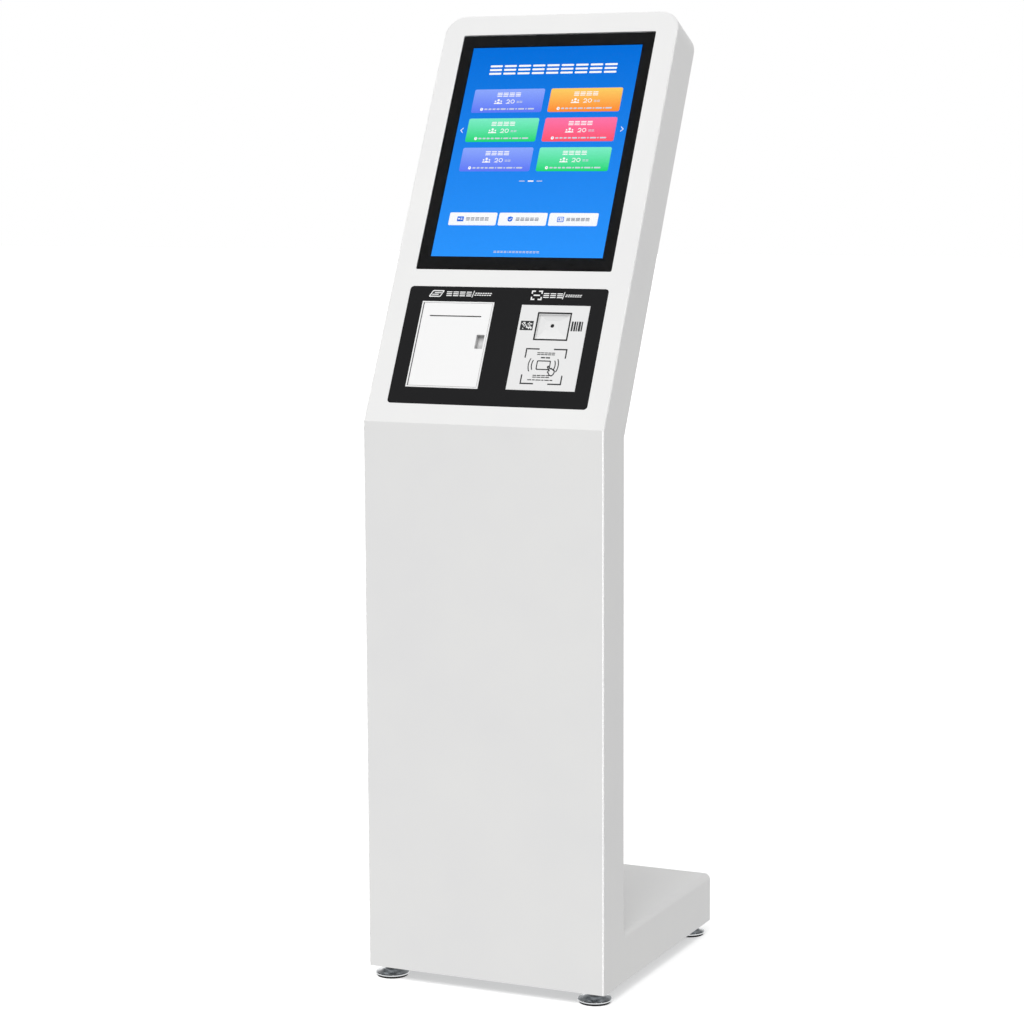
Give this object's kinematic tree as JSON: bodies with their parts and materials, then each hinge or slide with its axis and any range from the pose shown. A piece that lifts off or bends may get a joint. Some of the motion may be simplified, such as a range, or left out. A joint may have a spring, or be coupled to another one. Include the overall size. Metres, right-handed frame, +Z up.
{
  "type": "ticket vending machine",
  "caption": "Free-standing queue-ticket kiosk: white sheet-metal column with tilted touch-screen head, ticket printer, code and card reader, flat base on levelling feet.",
  "frame": {"origin": "on the floor, under the middle of the bounding box", "axes": "+Z up, the user stands on the -Y side, +X to the right as the user sees it"},
  "size_m": [0.416, 0.472, 1.5596],
  "materials": {
    "white_powder_coat": "fine satin powder coat",
    "galvanised_steel": "zinc plated sheet",
    "bright_steel": "turned steel",
    "chrome_plate": "bright plated",
    "black_plastic": "fine matt",
    "black_acrylic": "gloss sheet",
    "screen_glass": "tempered, black printed border",
    "lcd_module": "lit display",
    "white_plastic": "moulded satin",
    "grey_plastic": "moulded satin",
    "print_head_aluminium": "extruded",
    "roller_rubber": "ground rubber",
    "brass_gear": "cut",
    "motor_steel": "black painted can",
    "thermal_paper": "coated paper",
    "circuit_board": "solder mask",
    "cable_jacket": "soft jacket"
  },
  "bodies": {
    "cabinet": {"side_panel_left": "white_powder_coat", "side_panel_right": "white_powder_coat", "column_front_panel": "white_powder_coat", "head_front_panel": "white_powder_coat", "head_top_cap": "white_powder_coat", "rear_bend_panel": "white_powder_coat", "base_top_cover": "white_powder_coat", "base_rear_panel": "white_powder_coat", "base_floor_plate": "galvanised_steel", "hinge_cabinet_leaves": "galvanised_steel", "display_frame": "galvanised_steel", "lcd_brackets": "galvanised_steel", "service_backplate": "galvanised_steel", "printer_chassis": "galvanised_steel", "equipment_plate": "galvanised_steel", "power_supply": "galvanised_steel", "cabinet_screws": "galvanised_steel", "hinge_pins": "bright_steel", "roll_spindle": "bright_steel", "scan_trim": "black_plastic", "scanner_module": "black_plastic", "power_inlet": "black_plastic", "network_port": "black_plastic", "cable_clips": "black_plastic", "service_panel": "black_acrylic", "touch_glass": "screen_glass", "lcd_panel": "lcd_module", "printer_bezel": "white_plastic", "reader_plate": "grey_plastic", "scan_funnel": "grey_plastic", "terminal_block": "grey_plastic", "print_head": "print_head_aluminium", "computer_box": "print_head_aluminium", "stepper_motor": "motor_steel", "paper_web": "thermal_paper", "circuit_boards": "circuit_board", "internal_cables": "cable_jacket"},
    "column_door": {"column_door": "white_powder_coat", "column_hinge_leaves": "galvanised_steel", "column_lock_body": "chrome_plate"},
    "head_door": {"head_door": "white_powder_coat", "head_hinge_leaves": "galvanised_steel", "head_lock_body": "chrome_plate", "fan_frame": "black_plastic", "fan_guard": "chrome_plate", "fan_screws": "galvanised_steel"},
    "column_lock": {"column_lock_cam": "bright_steel"},
    "head_lock": {"head_lock_cam": "bright_steel"},
    "fan_rotor": {"fan_rotor": "black_plastic"},
    "printer_door": {"printer_door": "white_plastic"},
    "paper_roll": {"paper_roll": "thermal_paper"},
    "platen": {"platen_roller": "roller_rubber"},
    "idler": {"idler_gear": "white_plastic"},
    "pinion": {"motor_pinion": "brass_gear"},
    "cutter": {"cutter_blade": "galvanised_steel"},
    "rocker": {"rocker_paddle": "black_plastic"},
    "foot_front_left": {"foot_front_left": "chrome_plate"},
    "foot_front_right": {"foot_front_right": "chrome_plate"},
    "foot_rear_left": {"foot_rear_left": "chrome_plate"},
    "foot_rear_right": {"foot_rear_right": "chrome_plate"}
  },
  "joints": [
    {"name": "column_door_hinge", "type": "hinge", "parent": "cabinet", "child": "column_door", "pos_m": [0.192, -0.1497, 0.455], "axis": [0, 0, -1], "range_deg": [0, 110]},
    {"name": "head_door_hinge", "type": "hinge", "parent": "cabinet", "child": "head_door", "pos_m": [0.192, 0.04583, 1.28666], "axis": [0, -0.4446, -0.8957], "range_deg": [0, 110]},
    {"name": "column_lock_turn", "type": "hinge", "parent": "column_door", "child": "column_lock", "pos_m": [-0.17, -0.161, 0.455], "axis": [0, 1, 0], "range_deg": [0, 90]},
    {"name": "head_lock_turn", "type": "hinge", "parent": "head_door", "child": "head_lock", "pos_m": [-0.17, 0.03571, 1.29168], "axis": [0, 0.8957, -0.4446], "range_deg": [0, 90]},
    {"name": "fan_spin", "type": "hinge", "parent": "head_door", "child": "fan_rotor", "pos_m": [0, 0.09169, 1.42019], "axis": [0, 0.8957, -0.4446], "continuous": true},
    {"name": "printer_door_hinge", "type": "hinge", "parent": "cabinet", "child": "printer_door", "pos_m": [-0.1405, -0.1732, 1.03277], "axis": [0, -0.4446, -0.8957], "range_deg": [0, 90]},
    {"name": "paper_roll_spin", "type": "hinge", "parent": "cabinet", "child": "paper_roll", "pos_m": [-0.083, -0.14992, 0.97968], "axis": [1, 0, 0], "continuous": true},
    {"name": "platen_spin", "type": "hinge", "parent": "cabinet", "child": "platen", "pos_m": [-0.08, -0.14786, 1.05457], "axis": [1, 0, 0], "continuous": true},
    {"name": "idler_spin", "type": "hinge", "parent": "cabinet", "child": "idler", "pos_m": [-0.027, -0.13189, 1.05558], "axis": [1, 0, 0], "continuous": true},
    {"name": "pinion_spin", "type": "hinge", "parent": "cabinet", "child": "pinion", "pos_m": [-0.027, -0.11758, 1.05397], "axis": [1, 0, 0], "continuous": true},
    {"name": "cutter_slide", "type": "slide", "parent": "cabinet", "child": "cutter", "axis": [0, 0.4446, 0.8957], "range_m": [0, 0.004]},
    {"name": "rocker_tilt", "type": "hinge", "parent": "cabinet", "child": "rocker", "pos_m": [0.135, 0.227, 0.062], "axis": [1, 0, 0], "range_deg": [-24, 0]},
    {"name": "foot_front_left_height", "type": "slide", "parent": "cabinet", "child": "foot_front_left", "axis": [0, 0, -1], "range_m": [0, 0.015]},
    {"name": "foot_front_right_height", "type": "slide", "parent": "cabinet", "child": "foot_front_right", "axis": [0, 0, -1], "range_m": [0, 0.015]},
    {"name": "foot_rear_left_height", "type": "slide", "parent": "cabinet", "child": "foot_rear_left", "axis": [0, 0, -1], "range_m": [0, 0.015]},
    {"name": "foot_rear_right_height", "type": "slide", "parent": "cabinet", "child": "foot_rear_right", "axis": [0, 0, -1], "range_m": [0, 0.015]}
  ],
  "couplings": [
    {"joint": "platen_spin", "follows": "paper_roll_spin", "ratio": -4.386},
    {"joint": "idler_spin", "follows": "paper_roll_spin", "ratio": 2.924},
    {"joint": "pinion_spin", "follows": "paper_roll_spin", "ratio": -5.848}
  ]
}
